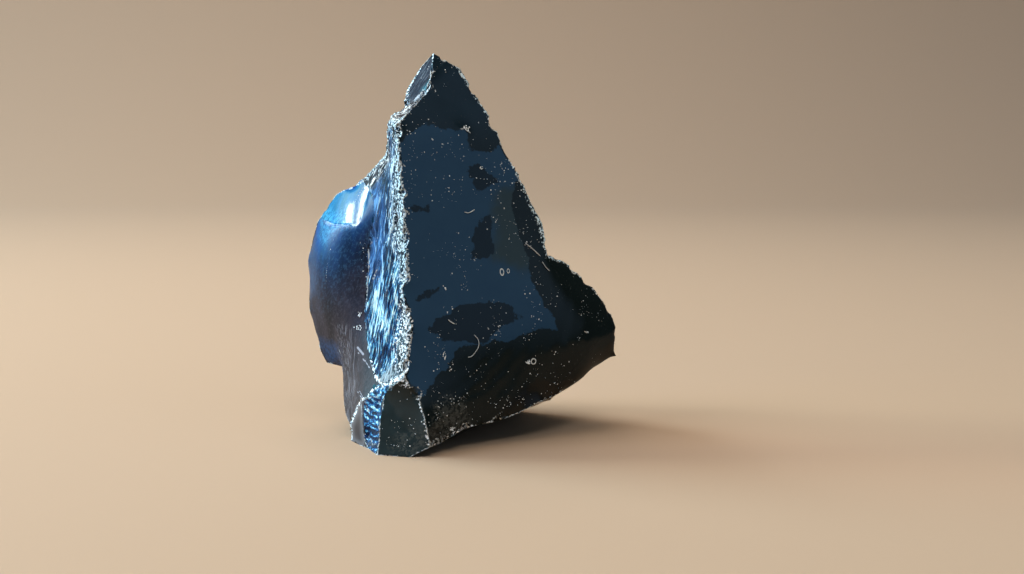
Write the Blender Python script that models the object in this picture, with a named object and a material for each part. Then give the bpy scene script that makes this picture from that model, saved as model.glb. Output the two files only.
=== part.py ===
"""A chunk of obsidian that stands on its own broken foot: one solid, in metres, +Z up.

The stone is drawn as its maker would describe it. CORNERS names the points where ridges meet, in millimetres
from the middle of the foot. FACES names the broken faces between the ridges, each with how far it is hollowed
or swollen. Every ridge is broken into short, slightly crooked lengths, and every face is stretched over its
ridges like a film, then hollowed, rippled and grained.
"""

import math
import random

import bmesh
import bpy
import numpy as np
from mathutils import Vector, geometry, noise

MM = 0.001
dice = random.Random(11)

# Driving sizes, in millimetres.
FACET = 3.0  # side of the small triangles on an ordinary face
FINE_FACET = 1.9  # the same on the splintered band
CLEAR_OF_RIDGE = 0.62  # how near to a ridge the points inside a face come, as a share of the triangles' side
RIDGE_CROOK = 0.056  # how far a ridge strays sideways, as a share of its length
CROOK_PITCH = 9.0  # from one bend of a ridge to the next
RIPPLE_PITCH = 13.0  # from one shell ripple to the next
RIPPLE_HEIGHT = 0.16
SWELL_PITCH = 24.0  # of the slow, uneven rise and fall of every face
SWELL_HEIGHT = 0.55
SPLINTER_PITCH = 4.2  # across the long splinters of the band
SPLINTER_HEIGHT = 0.75
SPLINTER_SLIMNESS = 7  # how many times longer than wide a splinter is
RIM_RISE = 2.5  # how steeply ripples, swell and splinters grow from a face's rim to their full height
BULB_FOOT = 16.0  # height at which the bulb on the left side starts to swell out of the wall
BULB_FULL = 52.0  # height from which it stands out fully
SWOLLEN_ROUNDNESS = 0.75  # 1 swells like a lens, less swells like a pillow
CHIP_BITE = 0.34  # how deep a chip goes into its ridge, as a share of its radius
CHIP_LUMP = 0.12  # how uneven a chip is, as a share of its radius
CHIP_LUMPS = 1.7  # how many lumps there are to a chip's radius
CHIP_LEAN = 0.45  # how far a chip leans off the ridge's own outward direction
CHIP_SIZES = (0.55, 1.35)  # the smallest and largest chip of a run, as shares of its usual radius
CHIP_SPREAD = (0.4, 1.6)  # the shortest and longest space between two chips, as shares of the usual space
FIRST_CHIP = 0.3  # where a run's first chip sits, as a share of the usual space
CHIP_WIDTHS = (0.8, 1.2)  # how much a chip is squeezed or stretched across
CHIP_HEIGHTS = (0.9, 1.5)  # the same upwards
SHADING_ANGLE = math.radians(24)  # faces that meet more sharply than this have a crisp edge

# x across, y away from the viewer, z up.
CORNERS = {
    # The keel: the ridge between the broad front and the left side, from the tip down to the toe.
    "tip": (-9, 1, 115.5),
    "brow": (-9.5, -4.5, 108.5),
    "neck": (-10.5, -6.5, 104),
    "hook": (-19, -14, 94.5),
    "nape": (-18.5, -15.5, 89.5),
    "keel_top": (-18, -17.5, 80.5),
    "keel_upper": (-17, -20, 65.5),
    "keel_middle": (-15.5, -22.5, 51),
    "keel_nick": (-17.5, -24, 48),
    "keel_lower": (-14.5, -25.5, 38),
    "toe_top": (-16.5, -29.5, 23),
    # The toe: the small triangular face at the foot of the keel.
    "toe_bend": (-12.5, -29.5, 17.5),
    "toe_right": (-10.5, -31, 11),
    "toe_foot": (-9, -31.5, 3),
    "toe_left": (-22.5, -26, 17.5),
    # The right rim, from the tip down to the notch and round the shoulder.
    "crown": (-1, 2, 111),
    "rim_high": (8.5, 1.5, 95),
    "rim_middle": (17, 2, 78),
    "rim_low": (23.5, 3, 64.5),
    "notch": (25.5, 2.5, 54.5),
    "shoulder_a": (30.5, 7, 52),
    "shoulder_b": (39.5, 10.5, 43.5),
    "shoulder_c": (46, 12.5, 34),
    "shoulder_d": (48, 11, 27.5),
    "chin_end": (47.5, 14, 21),
    "chin_a": (42.5, 12, 18),
    "chin_b": (36, 4, 14.5),
    "belly": (29, -2.5, 12.5),
    "cheek_a": (42, 6, 26),
    "cheek_b": (36.5, 1.5, 20),
    # Breaks in the broad front.
    "crease_a": (-11.5, -11, 95.5),
    "crease_b": (1, -4.5, 93),
    "crease_c": (9, -0.5, 86),
    "dusk_a": (-6.5, -23.5, 22.5),
    "dusk_b": (1, -18.5, 29.5),
    "dusk_c": (16, -10, 32),
    "dusk_d": (26.5, -3.5, 35),
    "dusk_e": (23.5, -3, 46.5),
    "hip": (25.5, -6, 23),
    # The raised lower edge of the front.
    "hem_a": (22.5, -8.5, 11),
    "hem_b": (16.5, -12, 8.5),
    "hem_c": (10.5, -15.5, 7),
    "hem_d": (0.5, -21.5, 6),
    "hem_e": (-6, -26.5, 3),
    # The left rim, from the tip down.
    "tip_left": (-13, 4, 111.5),
    "tip_low": (-17, 3, 105),
    "shelf": (-18.5, -2, 99),
    "hook_left": (-22, -9, 96.5),
    "fan_top": (-23, -6, 86),
    "fan_low": (-29.5, 1, 79),
    "bulb_top": (-33, 4, 75.5),
    "bulb_a": (-39.5, 8, 73),
    "bulb_b": (-46, 11, 64),
    "bulb_c": (-49.5, 12, 52),
    "bulb_d": (-49, 11, 36),
    "bulb_e": (-45.5, 9, 23.5),
    "bulb_foot": (-43.5, 8, 20),
    "bulb_root": (-38, 4, 19.5),
    "side_a": (-37.5, 0, 11),
    "side_b": (-36.5, -4, 6.5),
    "ankle": (-34.5, -10, 4.5),
    "strip_top": (-30.5, -17, 14),
    # The left edge of the splintered band, from the bulb down to the toe.
    "band_a": (-25, -8, 72.5),
    "band_b": (-24.5, -9, 67),
    "band_c": (-28.5, -6, 57),
    "band_d": (-28.5, -7, 51),
    "band_e": (-29.5, -9, 38),
    "band_f": (-29, -11, 32.5),
    "band_g": (-27.5, -15, 25.5),
    "band_h": (-25, -20, 21.5),
    # The back.
    "back_high": (-7, 14, 97),
    "back_middle": (-2, 28, 64),
    "back_low": (4, 37, 27),
    "back_right": (30, 25, 20),
    "back_left": (-27, 21, 57),
    "back_knee": (-32, 20, 21),
    # The foot, which is flat.
    "foot_left": (-24.5, -29, 0),
    "foot_front": (-15, -31.5, 0),
    "foot_inner": (2, 4, 0),
    "foot_right": (17, 27, 0),
    "foot_heel_right": (13, 34, 0),
    "foot_heel": (-8, 37, 0),
    "foot_heel_left": (-29, 24, 0),
    "foot_side": (-36, 2, 0),
    "foot_ankle": (-34, -12, 0),
    "foot_strip": (-29, -20, 0),
}

# Each face: its corners, anticlockwise from outside, and how deep it is hollowed (below 0: swollen).
FACES = {
    "tip_front": ("tip brow neck crease_a crease_b crease_c rim_middle rim_high crown", 0.8),
    "under_hook": ("neck hook nape crease_a", 0.4),
    "broad_front": (
        "nape keel_top keel_upper keel_middle keel_nick keel_lower toe_top toe_bend dusk_a dusk_b dusk_c"
        " dusk_d dusk_e notch rim_low rim_middle crease_c crease_b crease_a",
        0.5,
    ),
    "lower_front": (
        "toe_bend toe_right toe_foot hem_e hem_d hem_c hem_b hem_a belly hip dusk_d dusk_c dusk_b dusk_a",
        0.3,
    ),
    "shoulder": (
        "dusk_d hip belly cheek_b cheek_a shoulder_d shoulder_c shoulder_b shoulder_a notch dusk_e",
        -1.6,
    ),
    "chin": ("belly chin_b chin_a chin_end shoulder_d cheek_a cheek_b", 0.5),
    "toe": ("toe_top toe_left foot_left foot_front toe_foot toe_right toe_bend", 0.4),
    "strip": ("toe_left strip_top foot_strip foot_left", 0.4),
    "ankle_face": ("strip_top ankle foot_ankle foot_strip", -0.6),
    "bulb": (
        "band_h band_g band_f band_e band_d band_c band_b band_a bulb_top bulb_a bulb_b bulb_c bulb_d bulb_e"
        " bulb_foot bulb_root side_a side_b ankle strip_top toe_left",
        -5.5,
    ),
    "band": (
        "hook hook_left fan_top fan_low bulb_top band_a band_b band_c band_d band_e band_f band_g band_h"
        " toe_left toe_top keel_lower keel_nick keel_middle keel_upper keel_top nape",
        -0.8,
    ),
    "ledge": ("neck shelf hook_left hook", 0.3),
    "tip_side": ("tip tip_left tip_low shelf neck brow", 0.5),
    "back_upper_right": ("tip crown rim_high rim_middle rim_low notch back_middle back_high", 1.5),
    "back_upper_left": (
        "bulb_top fan_low fan_top hook_left shelf tip_low tip_left tip back_high back_middle back_left",
        2.0,
    ),
    "back_shoulder": (
        "notch shoulder_a shoulder_b shoulder_c shoulder_d chin_end back_right back_low back_middle",
        -2.5,
    ),
    "back_bulb": ("bulb_foot bulb_e bulb_d bulb_c bulb_b bulb_a bulb_top back_left back_knee", 1.2),
    "back_centre": ("back_left back_middle back_low foot_heel foot_heel_left back_knee", 2.2),
    "heel": ("back_low back_right foot_right foot_heel_right foot_heel", 0.8),
    "under_bulb": ("bulb_root bulb_foot back_knee", 0.6),
    "left_wall": ("foot_ankle ankle side_b side_a bulb_root back_knee foot_heel_left foot_side", 0.8),
    "under_front": ("toe_foot foot_front foot_inner foot_right belly hem_a hem_b hem_c hem_d hem_e", 1.5),
    "under_shoulder": ("chin_end chin_a chin_b belly foot_right back_right", 1.5),
    "foot": (
        "foot_left foot_strip foot_ankle foot_side foot_heel_left foot_heel foot_heel_right foot_right"
        " foot_inner foot_front",
        0,
    ),
}
SPLINTERED = {"band", "strip", "ledge"}
FLAT = {"foot"}
CALM = {"broad_front": 0.35, "lower_front": 0.4, "tip_front": 0.5}  # the share of ripple and swell they keep

# Runs of chipped ridges: the corners along the run, the usual chip radius and the space between chips.
CHIPPED = {
    "keel": ("hook nape keel_top keel_upper keel_middle keel_nick keel_lower toe_top", 2.4, 5),
    "toe": ("toe_left toe_top toe_bend toe_right toe_foot", 2.0, 9),
    "tip": ("neck brow tip crown", 2.0, 6),
    "shelf": ("neck shelf hook_left hook", 2.0, 5),
    "right_rim": ("crown rim_high rim_middle rim_low notch", 2.2, 13),
    "shoulder_rim": ("notch shoulder_a shoulder_b shoulder_c shoulder_d", 2.0, 8),
    "hem": ("belly hem_a hem_b hem_c hem_d hem_e toe_foot", 2.8, 10),
    "left_rim": ("bulb_a bulb_b bulb_c bulb_d bulb_e bulb_foot", 2.2, 12),
    "back_rim": ("back_high back_middle back_left back_knee", 4.0, 16),
    "heel_rim": ("back_right back_low foot_heel", 3.6, 16),
}


def crook(a, b, share):
    """How far the ridge from a to b strays at this share of its length: nothing at its ends."""
    reach = RIDGE_CROOK * (b - a).length * math.sin(math.pi * share)
    stray = noise.noise_vector(a.lerp(b, share) / CROOK_PITCH) * reach
    if a.z == 0 and b.z == 0:
        stray.z = 0
    return stray


def ridge_points(a, b, step):
    """The points between two corners, left out, along the crooked ridge that joins them."""
    pieces = max(1, round((b - a).length / step))
    shares = [i / pieces for i in range(1, pieces)]
    return [a.lerp(b, share) + crook(a, b, share) for share in shares]


class Stone:
    """The stone's points and triangles, in millimetres, grown face by face over shared ridges."""

    def __init__(self):
        self.points = [Vector(place) for place in CORNERS.values()]
        self.corner = {name: number for number, name in enumerate(CORNERS)}
        self.ridges = {}
        self.triangles = []

    def ridge(self, start, end):
        """The numbers of the points from one corner up to the next, made once for the two faces there."""
        first, last = sorted((start, end))
        if (first, last) not in self.ridges:
            fine = any({first, last} <= set(FACES[name][0].split()) for name in SPLINTERED)
            a, b = self.points[self.corner[first]], self.points[self.corner[last]]
            made = ridge_points(a, b, FINE_FACET if fine else FACET)
            self.ridges[first, last] = list(range(len(self.points), len(self.points) + len(made)))
            self.points += made
        between = self.ridges[first, last]
        return [self.corner[start], *(between if start == first else reversed(between))]

    def add_face(self, name):
        """Stretches one face over its ridges, gives it its form and keeps its triangles."""
        corners, hollow = FACES[name][0].split(), FACES[name][1]
        rim = [p for a, b in zip(corners, corners[1:] + corners[:1]) for p in self.ridge(a, b)]
        rim_places = [self.points[p] for p in rim]
        normal = newell_normal(rim_places)
        across = normal.orthogonal().normalized()
        along = normal.cross(across)
        outline = [Vector((p.dot(across), p.dot(along))) for p in rim_places]
        facet = FINE_FACET if name in SPLINTERED else FACET
        inside = lattice_inside(outline, facet)
        triangles = triangulate(outline, inside)
        heights = stretch(triangles, [p.dot(normal) for p in rim_places], len(inside), 0)
        fade = stretch(triangles, [0] * len(rim), len(inside), 1)
        fade = fade / max(fade.max(), 1e-9)
        numbers = list(rim)
        for number in range(len(rim), len(rim) + len(inside)):
            flat = inside[number - len(rim)]
            place = across * flat.x + along * flat.y + normal * float(heights[number])
            place -= normal * relief(name, place, flat, float(fade[number]), hollow)
            numbers.append(len(self.points))
            self.points.append(place)
        self.triangles += [tuple(numbers[i] for i in triangle) for triangle in triangles]


def newell_normal(places):
    """The direction that a crooked ring of points faces, by the areas that it shades."""
    total = Vector()
    for a, b in zip(places, places[1:] + places[:1]):
        total += (a - places[0]).cross(b - places[0])
    return total.normalized()


def lattice_inside(outline, facet):
    """Points in even, staggered rows inside an outline, kept clear of its edge."""
    row_step = facet * math.sqrt(3) / 2
    low_x, low_y = min(p.x for p in outline), min(p.y for p in outline)
    high_x, high_y = max(p.x for p in outline), max(p.y for p in outline)
    found = []
    for row in range(int((high_y - low_y) / row_step) + 1):
        for column in range(int((high_x - low_x) / facet) + 2):
            spot = Vector((low_x + (column - 0.5 * (row % 2)) * facet, low_y + row * row_step))
            if is_inside(spot, outline) and edge_distance(spot, outline) > CLEAR_OF_RIDGE * facet:
                found.append(spot)
    return found


def is_inside(spot, outline):
    """Whether a line from the spot to the right crosses the outline an odd number of times."""
    crossings = 0
    for a, b in zip(outline, outline[1:] + outline[:1]):
        if (a.y > spot.y) != (b.y > spot.y):
            crossings += spot.x < a.x + (spot.y - a.y) / (b.y - a.y) * (b.x - a.x)
    return crossings % 2 == 1


def edge_distance(spot, outline):
    nearest = math.inf
    for a, b in zip(outline, outline[1:] + outline[:1]):
        side = b - a
        share = min(1, max(0, (spot - a).dot(side) / side.length_squared))
        nearest = min(nearest, (spot - a - side * share).length)
    return nearest


def triangulate(outline, inside):
    """Triangles over an outline and the points inside it, anticlockwise."""
    count = len(outline)
    edges = [(i, (i + 1) % count) for i in range(count)]
    made = geometry.delaunay_2d_cdt(outline + inside, edges, [], 1, 1e-7)
    assert len(made[0]) == count + len(inside), "an outline crosses itself"
    old = [origins[0] for origins in made[3]]
    return [tuple(old[i] for i in triangle) for triangle in made[2]]


def stretch(triangles, rim_values, inside_count, push):
    """A film held at the rim's values and pushed evenly: each inside point is the mean of its neighbours."""
    held, total = len(rim_values), len(rim_values) + inside_count
    beside = [set() for _ in range(total)]
    for triangle in triangles:
        for i in triangle:
            beside[i].update(triangle)
    pull = np.eye(total)
    load = np.zeros(total)
    load[:held] = rim_values
    for i in range(held, total):
        others = beside[i] - {i}
        pull[i, list(others)] = -1 / len(others)
        load[i] = push
    return np.linalg.solve(pull, load)


def relief(name, place, flat, fade, hollow):
    """How far a point of a face sinks below the film, by its hollow, shell ripples, swell and splinters."""
    if name in FLAT:
        return 0
    depth = hollow * (fade**SWOLLEN_ROUNDNESS if hollow < 0 else fade)
    if name == "bulb":
        depth *= min(1, max(0, (place.z - BULB_FOOT) / (BULB_FULL - BULB_FOOT)))
    wave = min(1, RIM_RISE * fade) * CALM.get(name, 1)
    struck = Vector(CORNERS[FACES[name][0].split()[0]])
    ripple = math.sin((place - struck).length / RIPPLE_PITCH * math.tau)
    depth += wave * RIPPLE_HEIGHT * ripple
    depth += wave * SWELL_HEIGHT * noise.noise(place / SWELL_PITCH)
    if name in SPLINTERED:
        grain = Vector((place.x, place.y, place.z / SPLINTER_SLIMNESS)) / SPLINTER_PITCH
        depth += wave * SPLINTER_HEIGHT * noise.ridged_multi_fractal(grain, 1, 2, 2, 1, 2)
    return depth


def shift_to_centre(points):
    """How far the points must move to bring the middle of their box over the origin."""
    middle_x = (min(p.x for p in points) + max(p.x for p in points)) / 2
    middle_y = (min(p.y for p in points) + max(p.y for p in points)) / 2
    return Vector((-middle_x, -middle_y, 0))


def chip_points(stone, corners, space):
    """The numbers of points spread unevenly along a run of ridges."""
    along = [point for a, b in zip(corners, corners[1:]) for point in stone.ridge(a, b)]
    chosen, last = [], None
    wait = FIRST_CHIP * space
    for point in along[1:]:
        wait -= (stone.points[point] - stone.points[last or along[0]]).length
        last = point
        if wait < 0:
            chosen.append(point)
            wait = space * dice.uniform(*CHIP_SPREAD)
    return chosen


def add_chip(place, outward, radius, chips):
    """A rough ball that bites a shallow shell-shaped chip out of a ridge."""
    ball = bmesh.new()
    bmesh.ops.create_icosphere(ball, subdivisions=2, radius=radius)
    for corner in ball.verts:
        corner.co *= 1 + CHIP_LUMP * noise.noise(corner.co / radius * CHIP_LUMPS + place)
    lean = Vector((dice.uniform(-1, 1), dice.uniform(-1, 1), dice.uniform(-1, 1))) * CHIP_LEAN
    centre = place + (outward + lean).normalized() * radius * (1 - CHIP_BITE)
    stretch_by = (dice.uniform(*CHIP_WIDTHS), dice.uniform(*CHIP_WIDTHS), dice.uniform(*CHIP_HEIGHTS))
    bmesh.ops.scale(ball, verts=ball.verts, vec=stretch_by)
    bmesh.ops.translate(ball, verts=ball.verts, vec=centre)
    bmesh.ops.scale(ball, verts=ball.verts, vec=(MM, MM, MM))
    mesh = bpy.data.meshes.new("chip")
    ball.to_mesh(mesh)
    chip = bpy.data.objects.new("chip", mesh)
    chip.hide_render = True
    chip.display_type = "WIRE"
    chips.objects.link(chip)


def chip_ridges(chunk, stone, shift):
    """Bites chips out of the chipped runs of ridges."""
    chips = bpy.data.collections.new("chips")
    bpy.context.scene.collection.children.link(chips)
    for corners, radius, space in CHIPPED.values():
        for point in chip_points(stone, corners.split(), space):
            outward = chunk.data.vertices[point].normal
            add_chip(stone.points[point] + shift, outward, radius * dice.uniform(*CHIP_SIZES), chips)
    bite = chunk.modifiers.new("chips", "BOOLEAN")
    bite.operation = "DIFFERENCE"
    bite.operand_type = "COLLECTION"
    bite.collection = chips


def obsidian_material():
    material = bpy.data.materials.new("obsidian")
    material.use_nodes = True
    shader = material.node_tree.nodes["Principled BSDF"]
    shader.inputs["Base Color"].default_value = (0.008, 0.011, 0.015, 1)
    shader.inputs["Roughness"].default_value = 0.08
    shader.inputs["Metallic"].default_value = 0
    shader.inputs["IOR"].default_value = 1.5
    return material


def clear_scene():
    for thing in list(bpy.data.objects):
        bpy.data.objects.remove(thing)


def build():
    clear_scene()
    noise.seed_set(4)
    stone = Stone()
    for name in FACES:
        stone.add_face(name)
    shift = shift_to_centre(stone.points)
    mesh = bpy.data.meshes.new("chunk")
    mesh.from_pydata([(p + shift) * MM for p in stone.points], [], stone.triangles)
    mesh.materials.append(obsidian_material())
    mesh.shade_smooth()
    mesh.set_sharp_from_angle(angle=SHADING_ANGLE)
    chunk = bpy.data.objects.new("chunk", mesh)
    bpy.context.scene.collection.objects.link(chunk)
    chip_ridges(chunk, stone, shift)


build()
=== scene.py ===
import math
import random

import bmesh
import bpy
import numpy as np
from mathutils import Euler, Matrix, Vector, kdtree, noise


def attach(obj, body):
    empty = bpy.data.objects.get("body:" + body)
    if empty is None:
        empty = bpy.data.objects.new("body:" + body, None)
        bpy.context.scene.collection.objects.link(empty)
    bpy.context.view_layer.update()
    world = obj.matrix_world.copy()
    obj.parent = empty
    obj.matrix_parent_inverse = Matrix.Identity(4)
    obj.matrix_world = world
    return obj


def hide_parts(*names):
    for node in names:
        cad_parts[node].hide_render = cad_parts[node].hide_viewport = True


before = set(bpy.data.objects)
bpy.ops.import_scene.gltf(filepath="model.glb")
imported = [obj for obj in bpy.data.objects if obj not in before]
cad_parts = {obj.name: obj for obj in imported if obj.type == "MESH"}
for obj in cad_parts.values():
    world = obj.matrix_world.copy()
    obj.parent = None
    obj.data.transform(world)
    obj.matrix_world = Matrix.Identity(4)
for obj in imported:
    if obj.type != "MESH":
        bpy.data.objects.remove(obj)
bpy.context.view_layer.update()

# The stone is drawn in millimetres from the drawing's own origin, which lies this far from the row's.
MM = 0.001
DRAWING_TO_ROW = (0.75, -2.85)

RIDGE_ANGLE = math.radians(22)  # faces that meet more sharply than this meet at a ridge
SHADING_ANGLE = math.radians(26)
FRONT = Vector((0.46, -0.87, 0.18)).normalized()  # which way the broad front looks
SPLINTER_LEAN = Euler((0, math.radians(8), 0))  # how the long splinters lean

# How far along y or x the skin may look for an outline to count there.
FRONT_LOOK = -0.2
LEFT_LOOK = (-0.05, 0.15)
BAND_LOOK = 0.25
BULB_LOOK = -0.1
CHEEK_LOOK = 0.1
OUTSIDE = -9  # the mark where an outline doesn't count
FAR = 1e9

# The grain of each relief and its height, in millimetres.
FLAKES = ((3.2, 3.2, 17), 0.55)
CRUMBS = ((1, 1, 1), 0.75)
RIPPLES = ((14, 14, 14), 0.04)
FLAKES_FROM = 15  # the splinters stand out above this height
FOOT_FADE = 2  # the other relief fades in over this height, so that the foot stays flat
RELIEF_MIDDLE = (-20, -14, 50)  # where the grain of the relief is measured from

DUST_ON_FRONT = 4600  # how many grains are tried on the front
DUST_ON_SIDES = 260  # and on each other side
DUSTY_SIDES = [(1, 0, -0.3), (0.2, -1, -0.5), (-1, 0.3, -0.5)]  # the ways in which those grains come
FRONT_GRAINS = (0.07, 0.18, 4)  # the finest grain, how much larger they get, and how rare large ones are
SIDE_GRAINS = (0.07, 0.12, 3)
DRIFTS = (9, 3)  # how wide the large and the small drifts of dust are

dice = random.Random(5)


def spot(x, y, z):
    """A place in the drawing, in millimetres, as a place in the row, in metres."""
    return Vector((x + DRAWING_TO_ROW[0], y + DRAWING_TO_ROW[1], z)) * MM


# ---------------------------------------------------------------- the drawing: x and z, seen from the front

PAINTED_REFLECTION = [  # the painted blue reflection on the broad front
    (-18, 89.5), (-11.5, 95), (-6.5, 93.5), (1, 92.5), (2, 87), (8, 86), (11.5, 89), (15, 82),
    (16.5, 78.5), (14, 72), (15, 67), (17, 61), (19.5, 54), (19.5, 50), (21.5, 46), (23.5, 42), (25, 39),
    (27.5, 35.5), (29, 31.5), (23.5, 33.5), (18, 32), (15, 30.5), (12, 30), (9.5, 31.5), (7, 30), (0, 30),
    (-2, 28.5), (-3.5, 26), (-4.5, 23.5), (-7, 23.5), (-8, 20.5), (-9.5, 19.5), (-11, 17), (-14.5, 19),
    (-15.5, 23), (-14, 38), (-17, 48), (-15.5, 51), (-17, 65.5), (-17.5, 80.5),
]
SCARS = [  # clean breaks inside the painted reflection, where it is left out
    [
        (1.5, 82), (4.5, 83), (7, 80.5), (9.5, 78.5), (10.5, 77), (8, 76.5), (5, 74.5), (3, 76), (3, 78.5),
        (1, 80),
    ],
    [
        (6, 67), (8, 68), (8.5, 64.5), (8.5, 59.5), (10, 56.5), (7, 55), (2, 55.5), (3.5, 58.5), (2.5, 61),
        (3.5, 64.5),
    ],
    [
        (-1, 42), (3, 42), (9, 42.5), (14.5, 41), (15, 39), (17.5, 37), (14.5, 36), (12, 35), (9, 33.5),
        (7.5, 31), (5.5, 30), (1, 31.5), (-2, 32), (-5.5, 32), (-6.5, 34), (-10, 35.5), (-8, 38.5),
        (-4, 39.5),
    ],
    [(-7, 48), (-6.5, 47), (-9.5, 45), (-13.5, 44), (-14, 45), (-11, 46.5)],
    [(-15, 71.5), (-12.5, 71.5), (-9, 71), (-9.5, 69.5), (-14.5, 69.5)],
]
BAND = [  # the splintered band left of the keel
    (-19, 94.5), (-22, 96.5), (-23, 86), (-29.5, 79), (-31, 77.5), (-28.6, 75.8), (-26.5, 71), (-27, 66),
    (-28.5, 57), (-28.5, 51), (-29.5, 38), (-29, 32.5), (-27.5, 25.5), (-25.5, 20.8), (-23.6, 19.6),
    (-16.5, 23.5), (-14.5, 38), (-17.5, 48), (-15.5, 51), (-17, 65.5), (-18, 80.5), (-18.5, 89.5),
]
LEFT_SIDE = [  # the bulb and the wall below it
    (-31, 77.5), (-39.5, 74), (-46, 65), (-50, 52), (-49.5, 36), (-46, 23.5), (-43.5, 20), (-38, 19.5),
    (-37.5, 11), (-36.5, 6.5), (-34.5, 4.5), (-30.5, 13.8), (-28.9, 14.2), (-26.5, 17.6), (-23.6, 20),
    (-25.4, 21), (-27.5, 25.5), (-29, 32.5), (-29.5, 38), (-28.5, 51), (-28.5, 57), (-27, 66), (-26.5, 71),
    (-28.6, 75.8),
]
FACET = [  # the flat break at the top of the bulb
    (-49, 66.5), (-46.5, 65.5), (-41.5, 63.6), (-36, 63.8), (-31.2, 63.2), (-29.4, 69.3), (-27.9, 76),
    (-31, 79), (-41, 78), (-47, 73),
]
FACET_CORNERS = [  # three points that it passes through
    (-45.5, 10.5, 64.5), (-32.2, -4.2, 64), (-36.5, 4.5, 72.3),
]
FACET_DOME = 0.35  # how far its middle stands proud
FACET_REACH = 8.5  # from its middle to its rim
SLOPE = [  # the sparkling slope from the shelf down to the bulb
    (-23, 95), (-21.8, 88), (-21.2, 85), (-22.3, 82.5), (-24.8, 78.5), (-27.1, 75.5), (-31, 74.5),
    (-33, 76.5), (-30, 80), (-24, 88),
]
BAND_FOOT = [  # the greyer foot of the band
    (-25.7, 20.8), (-22.9, 23.2), (-20.3, 25.7), (-16.9, 28.4), (-16, 24), (-19.3, 21.7), (-23.5, 19.5),
]
LILAC = [  # where the splinters are smooth and lilac
    (-28.6, 76.5), (-24.5, 79), (-23, 72), (-23, 62), (-24, 52), (-25.5, 46), (-28.5, 50), (-28.5, 57),
    (-27, 66),
]
CHEEK = [  # the smooth right end of the hem
    (28, 11.5), (33, 19), (41, 27), (50, 31), (50, 16), (42, 15), (35, 12.5),
]
TOE = [  # the dark face at the front of the foot
    (-16.5, 23.7), (-20.6, 21.4), (-22.2, 18), (-23.9, 14), (-24.5, 0), (-10, 0), (-9, 3), (-10.5, 11),
    (-12.5, 17.5),
]
SCUFF = [(-19, 6), (-11, 9), (-8.5, 7), (-8.5, 1), (-17, 0.5), (-21, 2)]  # the rubbed foot of the toe
CHIPPED = [(-9, 4), (-8, 15), (-4, 17), (1, 13), (2, 7), (-5, 3.5)]  # fine chips beside the toe
# where the wall has fine upright scratches
SCRATCHED = [(-39, 34), (-33.5, 34), (-32, 24), (-32, 10), (-35.5, 4), (-38.5, 10), (-38.5, 20)]
SCRATCHES = [  # the two ends of each deep scratch on the wall, and how wide it is
    ((-31.8, 27.9), (-30.1, 26.5), 0.55), ((-31.6, 26.4), (-27.9, 23.2), 0.32),
    ((-29.3, 24.7), (-28.0, 23.3), 0.26), ((-31.6, 15.1), (-29.3, 13.6), 0.26),
    ((-30.9, 15.6), (-29.9, 14.7), 0.2),
]
GLEAM = [(-50, 58), (-46.5, 60), (-45.8, 52), (-46, 43), (-49, 40), (-50, 48)]  # the paler edge of the bulb
SPARKLE = [(-44.5, 69), (-40, 67.5), (-34, 68), (-33, 64), (-38, 62.5), (-41, 61), (-42.5, 57.5), (-45, 59)]
SHADE = [(-43, 41), (-40.5, 42), (-40, 33), (-40.8, 26), (-42.5, 27)]  # a dark streak low on the bulb
GLINT = [(-45.5, 27), (-39, 27), (-38.5, 20), (-44, 21)]  # blue again at the bulb's lowest corner
BRIGHT = [  # the palest splinters, where the painted highlights are strongest
    [(-29, 43), (-24, 42), (-21.5, 36), (-22.5, 29), (-25.5, 33), (-27.5, 38)],
    [(-20, 40), (-17, 38), (-16.5, 28), (-18.5, 20), (-22, 19), (-21, 28)],
    [(-22, 84), (-19.5, 84), (-18.5, 70), (-17.5, 58), (-21, 60), (-22.5, 72)],
]
LENS = [(-26, 34), (-24.2, 36), (-23.2, 30), (-24, 22.5), (-25.8, 26)]  # a dark gap in the splinters
CRACK = [  # a dark crack down the splinters
    (-25.3, 54.6), (-24.6, 54.2), (-26.2, 50), (-27.4, 46), (-28.6, 42), (-29.6, 42), (-28.4, 46),
    (-27.2, 50),
]
STRIP = [  # the rippled strip between the toe and the ankle
    (-20.4, 21.5), (-23.5, 19.9), (-26.5, 17.5), (-28.9, 14), (-29.5, 9), (-28.8, 0), (-24.5, 0),
    (-24.2, 8), (-23.4, 14), (-22, 18),
]
LEDGE = [(-10.5, 104), (-18.5, 99), (-22, 96.5), (-19, 94.5)]  # the crushed shelf below the tip
TIP_SIDE = [(-9, 115.5), (-9.5, 108.5), (-10.5, 104), (-18.5, 99), (-17, 105), (-13, 111.5)]  # above it
ANKLE = [(-28.9, 14.2), (-30.5, 13.8), (-34.5, 4.5), (-34, 0), (-28.8, 0), (-29.5, 9)]  # a grey face
BROWN = [  # where the glass is thin enough to look brown
    (9, 7), (11, 12), (17, 15), (20, 17.5), (25, 17.5), (29.5, 14.5), (36, 19), (42, 24), (48, 27.5),
    (47.5, 20), (42, 17), (36, 13.5), (29, 11.5), (22, 10), (16, 7.5),
]
GREEN = [(10, 74), (17, 77), (23, 64), (25, 54), (18, 50), (9, 55), (9, 63)]  # the painted reflection's duller side
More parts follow.
